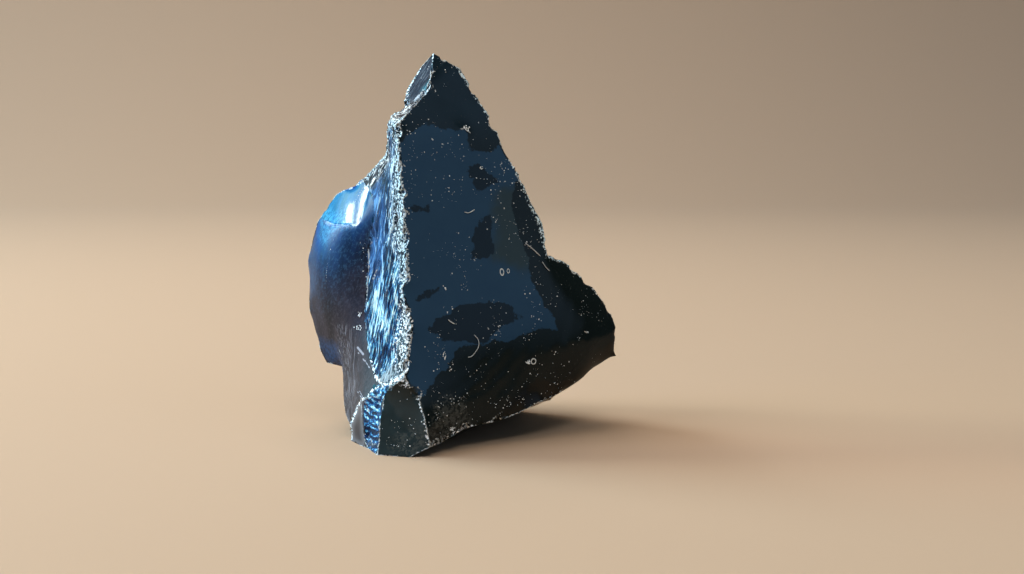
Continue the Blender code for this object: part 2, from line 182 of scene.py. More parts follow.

# The crushed ridges: x, y, z of each corner, and how far the crushing reaches from it.
CRUSHED = {
    "keel": [
        (-19, -14, 94.5, 2.2), (-18.5, -15.5, 89.5, 3.2), (-18, -17.5, 80.5, 4.6), (-17, -20, 65.5, 5.4),
        (-16, -21.6, 57, 4.2), (-15.5, -22.5, 51, 2.6), (-17.5, -24, 48, 1.6), (-16, -24.8, 43, 2.8),
        (-14.5, -25.5, 38, 4.2), (-15.5, -27.5, 30, 4.6), (-16.5, -29.5, 23, 2.2),
    ],
    "toe rim": [
        (-23.2, -24, 19.7, 0.6), (-16.5, -29.5, 23, 0.9), (-12.5, -29.5, 17.5, 0.35), (-10.5, -31, 11, 0.5),
        (-9, -31.5, 3, 0.7),
    ],
    "shelf rim": [
        (-9, 1, 115.5, 0.4), (-9.5, -4.5, 108.5, 0.35), (-10.5, -6.5, 104, 0.7), (-19, -14, 94.5, 2.2),
        (-22, -9, 96.5, 1.4),
    ],
    "tip rim": [(-13, 4, 111.5, 0.5), (-17, 3, 105, 0.8), (-18.5, -2, 99, 1.0), (-22, -9, 96.5, 1.4)],
    "slope rim": [
        (-22, -9, 96.5, 0.9), (-23, -6, 86, 0.9), (-29.5, 1, 79, 1.0), (-33, 4, 75.5, 0.7),
        (-39.5, 8, 73, 0.4),
    ],
    "band foot": [(-27.5, -15, 25.5, 0.3), (-25.4, -19.6, 20.8, 0.5), (-23.2, -24, 19.7, 0.7)],
    "ankle rim": [
        (-28.9, -18.7, 14, 0.4), (-30.5, -17, 14, 0.55), (-34.5, -10, 4.5, 0.6), (-34, -12, 0, 0.8),
    ],
    "strip rim": [(-23.2, -24, 19.7, 0.6), (-26.5, -20.2, 17.4, 0.4), (-28.9, -18.7, 14, 0.35)],
    "hem": [
        (-9, -31.5, 3, 1.2), (-6, -26.5, 3, 0.4), (0.5, -21.5, 6, 0.9), (5, -18.8, 6.4, 0.15),
        (10.5, -15.5, 7, 0.5), (16.5, -12, 8.5, 0.15), (22.5, -8.5, 11, 0.1), (29, -2.5, 12.5, 0.1),
    ],
    "right rim": [
        (-1, 2, 111, 0.9), (8.5, 1.5, 95, 0.4), (17, 2, 78, 0.6), (23.5, 3, 64.5, 1.2),
        (25.5, 2.5, 54.5, 0.7), (30.5, 7, 52, 0.5), (39.5, 10.5, 43.5, 0.3), (46, 12.5, 34, 0.3),
    ],
}

BRUISES = [  # where the dust of a blow still sits: x, z, how wide, how many grains
    (19.4, 23.4, 0.26, 26), (-5.1, 47.2, 0.3, 6), (0.8, 93.4, 0.4, 8), (5.5, 81.5, 0.4, 5),
    (-5.3, 28.7, 0.3, 5), (-5.1, 27.2, 0.3, 4), (-3.3, 23.9, 0.3, 4), (37.7, 30.6, 0.3, 5),
    (34.8, 29.1, 0.6, 5), (12.5, 13.0, 0.9, 9), (9, 12.5, 0.9, 7), (17, 13, 0.9, 8), (-3.2, 6.4, 0.3, 18),
    (-5, 14, 1.6, 12), (-2, 15, 1.2, 8), (-8, 10.5, 0.8, 8), (18.5, 62, 0.9, 8), (20, 58, 1.2, 9),
    (15.5, 61, 0.7, 5), (-31.5, 37.7, 0.35, 9), (-31.9, 33.9, 0.4, 8), (-30.7, 34.4, 0.25, 4),
]
RINGS = [  # x, z, sizes
    (11.5, 50.6, 0.6, 0.95), (13.4, 50.8, 0.42, 0.6), (21.0, 23.5, 0.8, 0.8), (0.9, 93.3, 0.6, 1.0),
]
FIBRES = [  # how thick, and the x and z of points along each
    (0.22, [(18.4, 58.7), (20.3, 57.1), (23.0, 54.5)]),
    (0.18, [(23.6, 52.7), (24.9, 50.8), (25.8, 49.9)]),
    (0.2, [(3.3, 33.0), (4.4, 31.5), (4.5, 29.7), (3.6, 28.1), (2.4, 26.9), (1.5, 26.8)]),
    (0.3, [(-4.2, 38.0), (-3.4, 37.3), (-2.5, 36.7)]),
    (0.2, [(0.3, 68.8), (1.4, 68.5), (2.6, 69.0), (3.2, 69.3)]),
]


def depth_in_one(points, outline):
    """How far inside one outline each (x, z) point lies, in millimetres: negative outside."""
    inside = np.zeros(len(points), bool)
    nearest = np.full(len(points), FAR)
    for a, b in zip(outline, outline[1:] + outline[:1]):
        a, b = np.array(a, float), np.array(b, float)
        side = b - a
        share = np.clip(((points - a) @ side) / (side @ side), 0, 1)
        nearest = np.minimum(nearest, np.linalg.norm(points - a - share[:, None] * side, axis=1))
        spans = (a[1] > points[:, 1]) != (b[1] > points[:, 1])
        rise = side[1] if side[1] else 1e-9
        inside ^= spans & (points[:, 0] < a[0] + (points[:, 1] - a[1]) / rise * side[0])
    return np.where(inside, nearest, -nearest)


def depth_inside(points, *outlines):
    """How far inside any of the outlines each (x, y, z) point lies, seen from the front."""
    return np.maximum.reduce([depth_in_one(points[:, [0, 2]], outline) for outline in outlines])


def reach_from_run(points, run):
    """How far each point lies from a crushed ridge, as a share of how far the crushing reaches there."""
    nearest = np.full(len(points), FAR)
    for a, b in zip(run, run[1:]):
        a, b = np.array(a, float), np.array(b, float)
        side = b[:3] - a[:3]
        share = np.clip(((points - a[:3]) @ side) / (side @ side), 0, 1)
        away = np.linalg.norm(points - a[:3] - share[:, None] * side, axis=1)
        nearest = np.minimum(nearest, away / (a[3] + share * (b[3] - a[3])))
    return nearest


# ---------------------------------------------------------------- working by hand


def only(thing):
    """Deselects everything but this piece and makes it the one that is worked on."""
    for other in bpy.context.selected_objects:
        other.select_set(False)
    thing.select_set(True)
    bpy.context.view_layer.objects.active = thing


def places(piece):
    """The piece's points in the drawing's millimetres, as rows of x, y, z."""
    found = np.empty(len(piece.data.vertices) * 3)
    piece.data.vertices.foreach_get("co", found)
    return found.reshape(-1, 3) / MM - np.array((*DRAWING_TO_ROW, 0))


def facings(piece):
    """Which way the piece looks at each of its points."""
    found = np.empty(len(piece.data.vertices) * 3, np.float32)
    piece.data.vertices.foreach_get("normal", found)
    return found.reshape(-1, 3).astype(float)


def mark(piece, name, values):
    """Keeps one number for each point of the piece, for its finish to read."""
    layer = piece.data.attributes.get(name) or piece.data.attributes.new(name, "FLOAT", "POINT")
    layer.data.foreach_set("value", np.asarray(values, np.float32))


def weigh(piece, name, weights):
    """A vertex group with a weight for each point, for a modifier to read."""
    group = piece.vertex_groups.get(name) or piece.vertex_groups.new(name=name)
    for tenths in range(1, 11):
        chosen = np.nonzero(np.round(weights * 10) == tenths)[0]
        group.add([int(i) for i in chosen], tenths / 10, "REPLACE")


def apply_modifiers(piece):
    only(piece)
    for modifier in list(piece.modifiers):
        bpy.ops.object.modifier_apply(modifier=modifier.name)


# ---------------------------------------------------------------- the stone


def copy_of_solid():
    """The solid's own mesh as a new piece, with its loose triangles joined."""
    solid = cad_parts["chunk"]
    stone = bpy.data.objects.new("stone", solid.data.copy())
    bpy.context.scene.collection.objects.link(stone)
    only(stone)
    bpy.ops.object.mode_set(mode="EDIT")
    bpy.ops.mesh.select_mode(type="VERT")
    bpy.ops.mesh.select_all(action="SELECT")
    bpy.ops.mesh.remove_doubles(threshold=0.00001)
    bpy.ops.object.mode_set(mode="OBJECT")
    return stone


def ease_faces(stone, rounds):
    """Smooths the broken faces and leaves the ridges between them where they are."""
    only(stone)
    bpy.ops.object.mode_set(mode="EDIT")
    bpy.ops.mesh.select_all(action="DESELECT")
    bpy.ops.mesh.edges_select_sharp(sharpness=RIDGE_ANGLE)
    bpy.ops.mesh.select_all(action="INVERT")
    bpy.ops.mesh.vertices_smooth(factor=0.5, repeat=rounds)
    bpy.ops.object.mode_set(mode="OBJECT")


def refine(stone, chosen=None):
    """Cuts the chosen faces, or all of them, into four."""
    only(stone)
    bpy.ops.object.mode_set(mode="EDIT")
    bpy.ops.mesh.select_mode(type="FACE")
    bpy.ops.mesh.select_all(action="SELECT" if chosen is None else "DESELECT")
    if chosen is not None:
        cage = bmesh.from_edit_mesh(stone.data)
        cage.faces.ensure_lookup_table()
        for number in np.nonzero(chosen)[0]:
            cage.faces[number].select = True
        bmesh.update_edit_mesh(stone.data)
    bpy.ops.mesh.subdivide(number_cuts=1)
    bpy.ops.mesh.select_all(action="SELECT")
    bpy.ops.mesh.quads_convert_to_tris()
    bpy.ops.mesh.select_mode(type="VERT")
    bpy.ops.object.mode_set(mode="OBJECT")


def face_values(stone, values):
    """The mean over each triangle of a number that its points carry."""
    corners = np.empty(len(stone.data.polygons) * 3, np.int32)
    stone.data.polygons.foreach_get("vertices", corners)
    return values[corners.reshape(-1, 3)].mean(axis=1)


def band_depth(stone):
    """How far inside the splintered band, strip or ledge each point lies, where the skin looks that way."""
    inside = depth_inside(places(stone), BAND, STRIP, LEDGE)
    return np.where(facings(stone)[:, 1] < BAND_LOOK, inside, OUTSIDE)


def bulb_depth(stone):
    """How far inside the bulb and the wall below it each point lies."""
    return np.where(facings(stone)[:, 0] < BULB_LOOK, depth_inside(places(stone), LEFT_SIDE), OUTSIDE)


def cheek_depth(stone):
    """How far inside the smooth right end of the hem each point lies."""
    return np.where(facings(stone)[:, 1] < CHEEK_LOOK, depth_inside(places(stone), CHEEK), OUTSIDE)


def crushing(stone):
    """How far each point lies from the crushed ridges: 0 on them, 1 where the crushing ends."""
    points, normals = places(stone), facings(stone)
    reach = np.minimum.reduce([reach_from_run(points, run) for run in CRUSHED.values()])
    # On the broad front right of the keel the crushing dies out sooner.
    on_front = np.clip((normals @ np.array(FRONT) - 0.80) / 0.12, 0, 1) * (points[:, 0] < -5)
    return reach * (1 + 6 * on_front)


def ridge_distance(stone):
    """How far each point lies from the nearest ridge, in millimetres."""
    cage = bmesh.new()
    cage.from_mesh(stone.data)
    sharp = set()
    for edge in cage.edges:
        if edge.calc_face_angle(0) > RIDGE_ANGLE:
            sharp.update(corner.index for corner in edge.verts)
    cage.verts.ensure_lookup_table()
    tree = kdtree.KDTree(len(sharp))
    for number in sharp:
        tree.insert(cage.verts[number].co, number)
    tree.balance()
    found = np.array([tree.find(corner.co)[2] for corner in cage.verts]) / MM
    cage.free()
    return found


def raise_relief(stone, texture, grain, height, weights, turn=(0, 0, 0)):
    """Raises and sinks the stone's skin by a texture, as far as the weights allow.

    The texture is measured from an empty whose scale stretches its grain to this size in millimetres.
    """
    bpy.ops.object.empty_add(location=spot(*RELIEF_MIDDLE), rotation=turn)
    bed = bpy.context.object
    bed.scale = [side * MM for side in grain]
    bpy.context.view_layer.update()
    weigh(stone, texture.name, weights)
    relief = stone.modifiers.new(texture.name, "DISPLACE")
    relief.texture = texture
    relief.texture_coords = "OBJECT"
    relief.texture_coords_object = bed
    relief.vertex_group = texture.name
    relief.strength = height * MM
    relief.mid_level = 0.5
    return bed


def make_relief(stone):
    """Long splinters on the band, crumbs on the crushed ridges and faint shell ripples elsewhere."""
    level = places(stone)[:, 2]
    off_foot = np.clip(level / FOOT_FADE, 0, 1)
    splinter = np.clip(band_depth(stone) / 1.2 + 0.1, 0, 1) * np.clip((level - FLAKES_FROM) / 3, 0, 1)
    crush = np.clip(1.3 - crushing(stone), 0, 1) * off_foot
    calm = np.clip(ridge_distance(stone) / 5, 0, 1) * (1 - splinter) * (1 - crush) * (bulb_depth(stone) < 0)
    calm *= off_foot

    flakes = bpy.data.textures.new("flakes", "MUSGRAVE")
    flakes.musgrave_type = "RIDGED_MULTIFRACTAL"
    flakes.octaves = 2
    flakes.noise_scale = 1
    crumbs = bpy.data.textures.new("crumbs", "CLOUDS")
    crumbs.noise_scale = 1
    crumbs.noise_depth = 2
    ripples = bpy.data.textures.new("shell ripples", "WOOD")
    ripples.wood_type = "RINGNOISE"
    ripples.noise_basis_2 = "SIN"
    ripples.turbulence = 3
    beds = [
        raise_relief(stone, flakes, *FLAKES, splinter * (1 - crush * 0.6), SPLINTER_LEAN),
        raise_relief(stone, crumbs, *CRUMBS, crush),
        raise_relief(stone, ripples, *RIPPLES, calm),
    ]
    apply_modifiers(stone)
    for bed in beds:
        bpy.data.objects.remove(bed)


def round_off(stone, inner, rounds):
    """Eases the whole skin where it is told to, with the ridges that cross it."""
    only(stone)
    bpy.ops.object.mode_set(mode="EDIT")
    bpy.ops.mesh.select_mode(type="VERT")
    bpy.ops.mesh.select_all(action="DESELECT")
    cage = bmesh.from_edit_mesh(stone.data)
    for corner in cage.verts:
        corner.select = bool(inner[corner.index])
    cage.select_flush_mode()
    bmesh.update_edit_mesh(stone.data)
    bpy.ops.mesh.vertices_smooth(factor=0.5, repeat=rounds)
    bpy.ops.object.mode_set(mode="OBJECT")


def flatten_facet(stone):
    """Presses the top of the bulb to a slightly domed plane, as a flake that has come off leaves it."""
    points = places(stone)
    a, b, c = (np.array(corner, float) for corner in FACET_CORNERS)
    out = np.cross(b - a, c - a)
    out /= np.linalg.norm(out)
    inside = np.where(facings(stone)[:, 0] < BULB_LOOK, depth_inside(points, FACET), OUTSIDE)
    flat = points - a
    height = flat @ out
    flat -= height[:, None] * out
    dome = FACET_DOME * (1 - (np.linalg.norm(flat - (a + b + c) / 3 + a, axis=1) / FACET_REACH) ** 2)
    weight = np.clip(inside / 0.5, 0, 1) * np.clip(height - dome + 1.5, 0, 1)
    points += ((dome - height) * weight)[:, None] * out
    stone.data.vertices.foreach_set("co", ((points + np.array((*DRAWING_TO_ROW, 0))) * MM).ravel())
    stone.data.update()
    mark(stone, "facet", inside)


def worked_faces(stone, past_outline, past_crushing):
    """Which triangles the splinters or the crushed ridges reach, or come this near to."""
    by_band = face_values(stone, band_depth(stone)) > -past_outline
    return by_band | (face_values(stone, crushing(stone)) < past_crushing)


def make_stone():
    """The solid's skin, eased between its ridges and cut finer where its relief needs it."""
    stone = copy_of_solid()
    ease_faces(stone, rounds=4)
    refine(stone)
    ease_faces(stone, rounds=6)
    round_off(stone, bulb_depth(stone) > 2, rounds=12)
    round_off(stone, cheek_depth(stone) > 0.5, rounds=6)
    bulb = face_values(stone, bulb_depth(stone)) > -1
    edges = face_values(stone, ridge_distance(stone)) < 0.85
    refine(stone, bulb | edges | worked_faces(stone, past_outline=1, past_crushing=1.8))
    ease_faces(stone, rounds=3)
    refine(stone, worked_faces(stone, past_outline=0.5, past_crushing=1.15))
    flatten_facet(stone)
    return stone


def mark_relief(stone):
    """Marks how far the band, the crushed ridges and the other ridges are, before the relief moves them."""
    toe = depth_inside(places(stone), TOE)
    mark(stone, "splinter", np.minimum(band_depth(stone), 1 - 3 * toe))  # the toe stays free of splinters
    mark(stone, "crushing", crushing(stone))
    mark(stone, "ridge", ridge_distance(stone))


def mark_outlines(stone):
    """Marks how far inside each outline the finished skin lies, for the finish to read."""
    points, normals = places(stone), facings(stone)
    front = normals[:, 1] < FRONT_LOOK
    left = (normals[:, 0] < LEFT_LOOK[0]) & (normals[:, 1] < LEFT_LOOK[1])
    on_front = {
        "painted reflection": [PAINTED_REFLECTION], "scar": SCARS, "green": [GREEN], "brown": [BROWN], "scuff": [SCUFF, CHIPPED],
    }
    on_left = {"bright": BRIGHT, "tip side": [TIP_SIDE], "ankle": [ANKLE]}
    on_either = {
        "gleam": [GLEAM], "sparkle": [SPARKLE], "shade": [SHADE], "glint": [GLINT], "lens": [LENS],
        "crack": [CRACK], "slope": [SLOPE], "lilac": [LILAC], "toe": [TOE], "scratched": [SCRATCHED],
        "strip": [STRIP], "ledge": [LEDGE], "band foot": [BAND_FOOT],
    }
    for where, outlines in ((front, on_front), (left, on_left), (left | front, on_either)):
        for name, drawn in outlines.items():
            mark(stone, name, np.where(where, depth_inside(points, *drawn), OUTSIDE))
    turned_back = (0.22 - normals[:, 1]) * 12  # falls below 0 where the skin turns to the back
    mark(stone, "left side", np.minimum(bulb_depth(stone), turned_back))
    mark(stone, "cheek", cheek_depth(stone))
    mark(stone, "outward", -normals[:, 1])


def finish_stone(stone):
    """Shades the stone, gives it its finish and puts it in the solid's place."""
    only(stone)
    bpy.ops.object.shade_smooth_by_angle(angle=SHADING_ANGLE)
    stone.data.materials.clear()
    stone.data.materials.append(obsidian())
    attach(stone, "root")
    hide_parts("chunk")


# ---------------------------------------------------------------- dust and lint


def land(stone, x, z, way=(0, 1, 0)):
    """Where something that comes this way lands on the stone, and which way the stone looks there."""
    way = Vector(way).normalized()
    hit, place, normal, _ = stone.ray_cast(spot(x, 0, z) - way * 0.3, way)
    return (place, normal) if hit else None


def make_grain():
    """One lumpy grain of dust, 2 mm across before it is scaled down."""
    bpy.ops.object.select_all(action="DESELECT")
    bpy.ops.mesh.primitive_ico_sphere_add(subdivisions=1, radius=MM)
    grain = bpy.context.object
    bpy.ops.object.mode_set(mode="EDIT")
    bpy.ops.mesh.select_all(action="SELECT")
    bpy.ops.transform.vertex_random(offset=0.3 * MM, seed=2)
    bpy.ops.transform.resize(value=(1, 1, 0.7))
    bpy.ops.object.mode_set(mode="OBJECT")
    return grain


def drop(piece, place, normal, size, heap):
    """Puts a copy of the piece, turned at random, on the stone."""
    copied = piece.copy()
    copied.data = piece.data.copy()
    bpy.context.scene.collection.objects.link(copied)
    lie = normal.to_track_quat("Z", "Y").to_matrix().to_4x4()
    spin = Matrix.Rotation(dice.uniform(0, math.tau), 4, "Z")
    stretch = Matrix.Diagonal((size, size * dice.uniform(0.6, 1), size, 1))
    copied.matrix_world = Matrix.Translation(place) @ lie @ spin @ stretch
    heap.append(copied)


def join(name, heap, finish):
    """Joins a heap of pieces into one that sits at the origin and rides on the stone's body."""
    bpy.ops.object.select_all(action="DESELECT")
    for piece in heap:
        piece.select_set(True)
    bpy.context.view_layer.objects.active = heap[0]
    bpy.ops.object.join()
    whole = bpy.context.object
    bpy.ops.object.transform_apply(location=True, rotation=True, scale=True)
    whole.name = name
    whole.data.name = name
    whole.data.materials.clear()
    whole.data.materials.append(finish)
    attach(whole, "root")


def dustiness(place):
    """How dusty the stone is at a place: dust lies in drifts."""
    large, small = (noise.noise(place / (wide * MM)) for wide in DRIFTS)
    return 0.35 + 2.0 * (large + 0.5 * small)


def anywhere():
    """An x and z at random over the stone."""
    return dice.uniform(-50, 50), dice.uniform(0, 116)


def grain_size(finest, spread, rarity):
    return finest + spread * dice.random() ** rarity


def make_dust(stone):
    grain = make_grain()
    heap = []
    for _ in range(DUST_ON_FRONT):
        at = land(stone, *anywhere())
        if at and at[1].dot(FRONT) > 0.6 and dice.random() < dustiness(at[0]):
            drop(grain, *at, grain_size(*FRONT_GRAINS), heap)
    for way in DUSTY_SIDES:
        for _ in range(DUST_ON_SIDES):
            at = land(stone, *anywhere(), way)
            if at and dice.random() < 0.5 * dustiness(at[0]):
                drop(grain, *at, grain_size(*SIDE_GRAINS), heap)
    for x, z, wide, count in BRUISES:
        for _ in range(count):
            at = land(stone, x + dice.gauss(0, wide), z + dice.gauss(0, wide))
            if at:
                drop(grain, *at, dice.uniform(0.14, 0.3) * (1 if wide < 0.5 else 0.6), heap)
    bpy.data.objects.remove(grain)
    join("dust", heap, plain("dust", (0.86, 0.86, 0.82), 0.7))


def make_rings(stone):
    """Small round chips that left a pale rim."""
    heap = []
    for x, z, wide, tall in RINGS:
        place, normal = land(stone, x, z)
        bpy.ops.object.select_all(action="DESELECT")
        bpy.ops.mesh.primitive_torus_add(
            major_radius=MM, minor_radius=0.19 * MM, major_segments=28, minor_segments=8
        )
        ring = bpy.context.object
        bpy.ops.object.mode_set(mode="EDIT")
        bpy.ops.mesh.select_all(action="SELECT")
        bpy.ops.transform.vertex_random(offset=0.09 * MM, seed=3)
        bpy.ops.object.mode_set(mode="OBJECT")
        across = Vector((0, 0, 1)).cross(normal).normalized()
        lie = Matrix((across, normal.cross(across), normal)).transposed().to_4x4()
        ring.matrix_world = Matrix.Translation(place) @ lie @ Matrix.Diagonal((wide, tall, 0.5, 1))
        heap.append(ring)
    join("chip_rims", heap, plain("chip rim", (0.7, 0.7, 0.66), 0.6))


def make_lint(stone):
    """Loose fibres: each a thin round thread along points a little above the stone."""
    heap = []
    for thick, points in FIBRES:
        thread = bpy.data.curves.new("fibre", "CURVE")
        thread.dimensions = "3D"
        thread.bevel_depth = thick / 2 * MM
        thread.bevel_resolution = 1
        thread.use_fill_caps = True
        line = thread.splines.new("BEZIER")
        line.bezier_points.add(len(points) - 1)
        for knot, (x, z) in zip(line.bezier_points, points):
            place, normal = land(stone, x, z)
            knot.co = place + normal * 0.25 * MM
            knot.handle_left_type = knot.handle_right_type = "AUTO"
        holder = bpy.data.objects.new("fibre", thread)
        bpy.context.scene.collection.objects.link(holder)
        only(holder)
        bpy.ops.object.convert(target="MESH")
        heap.append(bpy.context.object)
    join("lint", heap, plain("lint", (0.66, 0.66, 0.62), 0.8))


# ---------------------------------------------------------------- finishes


class Recipe:
    """A finish, or the light around, under way: each step adds a node and returns its result."""

    def __init__(self, holder, place="Object"):
        self.holder = holder
        holder.use_nodes = True
        self.nodes = holder.node_tree.nodes
        self.links = holder.node_tree.links
        self.shader = self.nodes.get("Principled BSDF") or self.nodes.get("Background")
        self.place = self.nodes.new("ShaderNodeTexCoord").outputs[place]

    def feed(self, socket, value):
        if hasattr(value, "links"):
            self.links.new(value, socket)
        else:
            socket.default_value = (*value, 1) if isinstance(value, tuple) and len(value) == 3 else value

    def number(self, name):
        """What is marked on the piece under this name."""
        node = self.nodes.new("ShaderNodeAttribute")
        node.attribute_name = name
        return node.outputs["Fac"]

    def sums(self, how, a, b=0.0, c=0.0):
        node = self.nodes.new("ShaderNodeMath")
        node.operation = how
        for socket, value in zip(node.inputs, (a, b, c)):
            self.feed(socket, value)
        return node.outputs[0]

    def times(self, a, b):
        return self.sums("MULTIPLY", a, b)

    def most(self, a, b):
        return self.sums("MAXIMUM", a, b)

    def shift(self, value, by, share=1.0):
        """The value plus this much of another."""
        return self.sums("MULTIPLY_ADD", share, by, value)

    def arrows(self, how, a, b):
        """One step of sums on arrows: an arrow, or a number where the step gives one."""
        node = self.nodes.new("ShaderNodeVectorMath")
        node.operation = how
        self.feed(node.inputs[0], a)
        self.feed(node.inputs["Scale" if how == "SCALE" else 1], b)
        return node.outputs["Value" if how in ("DOT_PRODUCT", "DISTANCE") else 0]

    def step(self, value, low, high, to_low=0.0, to_high=1.0):
        """Rises smoothly from one value to the other as its input goes from low to high."""
        node = self.nodes.new("ShaderNodeMapRange")
        node.interpolation_type = "SMOOTHSTEP"
        for socket, what in zip(node.inputs, (value, low, high, to_low, to_high)):
            self.feed(socket, what)
        return node.outputs[0]

    def bed(self, sizes, turn=(0, 0, 0), middle=(0, 0, 0)):
        """Places on the piece, measured from a middle in grains of this size in millimetres."""
        node = self.nodes.new("ShaderNodeMapping")
        node.vector_type = "TEXTURE"
        self.feed(node.inputs["Vector"], self.place)
        node.inputs["Location"].default_value = middle
        node.inputs["Rotation"].default_value = turn
        node.inputs["Scale"].default_value = [size * MM for size in sizes]
        return node.outputs[0]

    def mottle(self, grain, detail=3.0, roughness=0.55, turn=(0, 0, 0), sway=0.0):
        """Cloudy noise with a grain of this size in millimetres, one number or three."""
        sizes = grain if isinstance(grain, tuple) else (grain, grain, grain)
        node = self.nodes.new("ShaderNodeTexNoise")
        self.feed(node.inputs["Vector"], self.bed(sizes, turn))
        node.inputs["Scale"].default_value = 1
        node.inputs["Detail"].default_value = detail
        node.inputs["Roughness"].default_value = roughness
        node.inputs["Distortion"].default_value = sway
        return node.outputs["Fac"]

    def shells(self, middle, pitch, sway):
        """Shell ripples around a place in the drawing, this many millimetres from one to the next."""
        node = self.nodes.new("ShaderNodeTexWave")
        node.wave_type = "RINGS"
        node.rings_direction = "SPHERICAL"
        self.feed(node.inputs["Vector"], self.bed([pitch] * 3, middle=spot(*middle)))
        node.inputs["Scale"].default_value = math.tau / 20
        node.inputs["Distortion"].default_value = sway
        node.inputs["Detail"].default_value = 3
        node.inputs["Detail Scale"].default_value = 2
        return node.outputs["Fac"]

    def stroke(self, start, end, width):
        """1 along a straight scratch between two places seen from the front (x, z), 0 away from it."""
        start, end = spot(start[0], 0, start[1]), spot(end[0], 0, end[1])
        start.y = end.y = 0
        along = end - start
        seen = self.arrows("MULTIPLY", self.place, Vector((1, 0, 1)))
        from_start = self.arrows("SUBTRACT", seen, start)
        share = self.step(self.arrows("DOT_PRODUCT", from_start, along / along.length_squared), 0.0, 1.0)
        away = self.arrows("DISTANCE", from_start, self.arrows("SCALE", along, share))
        return self.step(away, width * MM, 0.4 * width * MM)

    def tones(self, value, *stops):
        """A run of colours, each at its value from 0 to 1."""
        node = self.nodes.new("ShaderNodeValToRGB")
        self.feed(node.inputs[0], value)
        ramp = node.color_ramp.elements
        while len(ramp) < len(stops):
            ramp.new(0.5)
        for stop, (at, colour) in zip(ramp, stops):
            stop.position = at
            stop.color = (*colour, 1)
        return node.outputs[0]

    def mix(self, share, a, b, how="MIX"):
        node = self.nodes.new("ShaderNodeMix")
        node.data_type = "RGBA"
        node.blend_type = how
        self.feed(node.inputs[0], share)
        self.feed(node.inputs[6], a)
        self.feed(node.inputs[7], b)
        return node.outputs[2]

    def bump(self, height, distance, strength, under=None):
        node = self.nodes.new("ShaderNodeBump")
        node.inputs["Distance"].default_value = distance * MM
        self.feed(node.inputs["Strength"], strength)
        self.feed(node.inputs["Height"], height)
        if under:
            self.feed(node.inputs["Normal"], under)
        return node.outputs[0]


class Glass(Recipe):
    """The stone's finish under way, with the mottles that several of its tones share."""

    def __init__(self, holder):
        super().__init__(holder)
        split = self.nodes.new("ShaderNodeSeparateXYZ")
        self.feed(split.inputs[0], self.place)
        self.across, _, self.level = split.outputs
        self.stray = self.sums("MULTIPLY_ADD", self.mottle(2.4, 5.0, 0.68), 3.6, -1.8)
        self.wander = self.sums("MULTIPLY_ADD", self.mottle(7, 3.0), 9, -4.5)
        self.crumb = self.mottle(0.72, 4.0, 0.62)
        self.grit = self.mottle(0.7, 3.0, 0.7)
        self.frost = self.mottle((0.7, 0.7, 1.2), 4.0, 0.7, (0.3, 0.5, 0), 0.4)

    def within(self, name, soft, astray=None):
        """1 inside a marked outline and 0 outside it, with a rim that strays and is this soft."""
        astray = self.stray if astray is None else astray
        return self.step(self.sums("ADD", self.number(name), astray), -soft, soft)

    def rise(self, low, high, to_low=0.0, to_high=1.0):
        """Goes smoothly from one value to the other between two heights in millimetres."""
        return self.step(self.level, low * MM, high * MM, to_low, to_high)


def broad_faces(do):
    """Near-black glass with a painted blue reflection on the front, its clean breaks, the thin brown edge and
    the toe.
    """
    # painted reflection: the glass is painted bluer near the top, where it reflects the room differently
    painted_top_reflection = do.mix(do.mottle(8), (0.006, 0.013, 0.018), (0.009, 0.021, 0.031))
    colour = do.mix(do.mottle(9, 3.0), (0.0026, 0.0056, 0.0054), (0.0062, 0.0110, 0.0104))
    colour = do.mix(do.rise(82, 100), colour, painted_top_reflection)
    colour = do.mix(do.step(do.grit, 0.62, 0.74), colour, (0.030, 0.034, 0.032))
    # painted reflection: the blue on the front stands in for a reflected softbox, and the clean breaks are
    # left without it
    painted_reflection_area = do.within("painted reflection", 0.25)
    colour = do.mix(painted_reflection_area, colour, (0.0045, 0.0105, 0.0160))
    blue = do.mix(do.mottle(6, 3.0), (0.0115, 0.0390, 0.0790), (0.0175, 0.0500, 0.0900))
    blue = do.mix(do.within("green", 2.5, do.wander), blue, (0.0220, 0.0380, 0.0420))
    painted_reflection_share = do.times(painted_reflection_area, do.sums("SUBTRACT", 1.0, do.within("scar", 0.2)))
    colour = do.mix(painted_reflection_share, colour, blue)
    colour = do.mix(do.within("brown", 1.5, do.wander), colour, (0.0085, 0.0070, 0.0045))
    toe = do.mix(do.mottle(5), (0.013, 0.018, 0.016), (0.030, 0.046, 0.048))
    toe = do.mix(do.rise(12, 24), toe, (0.012, 0.013, 0.009))
    colour = do.mix(do.within("toe", 0.8), colour, toe)
    rubbed = do.step(do.mottle(1.3, 4.0, 0.68, sway=0.6), 0.44, 0.60)
    rubbed = do.times(do.times(do.within("scuff", 1.5), rubbed), 0.5)
    return do.mix(rubbed, colour, (0.10, 0.10, 0.085))


def scratches(do):
    """Fine upright scratches on the wall, and a few deep ones."""
    scratch = do.step(do.mottle((0.25, 0.25, 9), 2.0, 0.5, (0, 0.05, 0), 0.15), 0.56, 0.62)
    scratch = do.times(scratch, do.times(do.within("scratched", 1.5), 0.55))
    for start, end, width in SCRATCHES:
        scratch = do.most(scratch, do.stroke(start, end, width))
    return do.times(scratch, do.step(do.number("outward"), 0.0, 0.2))


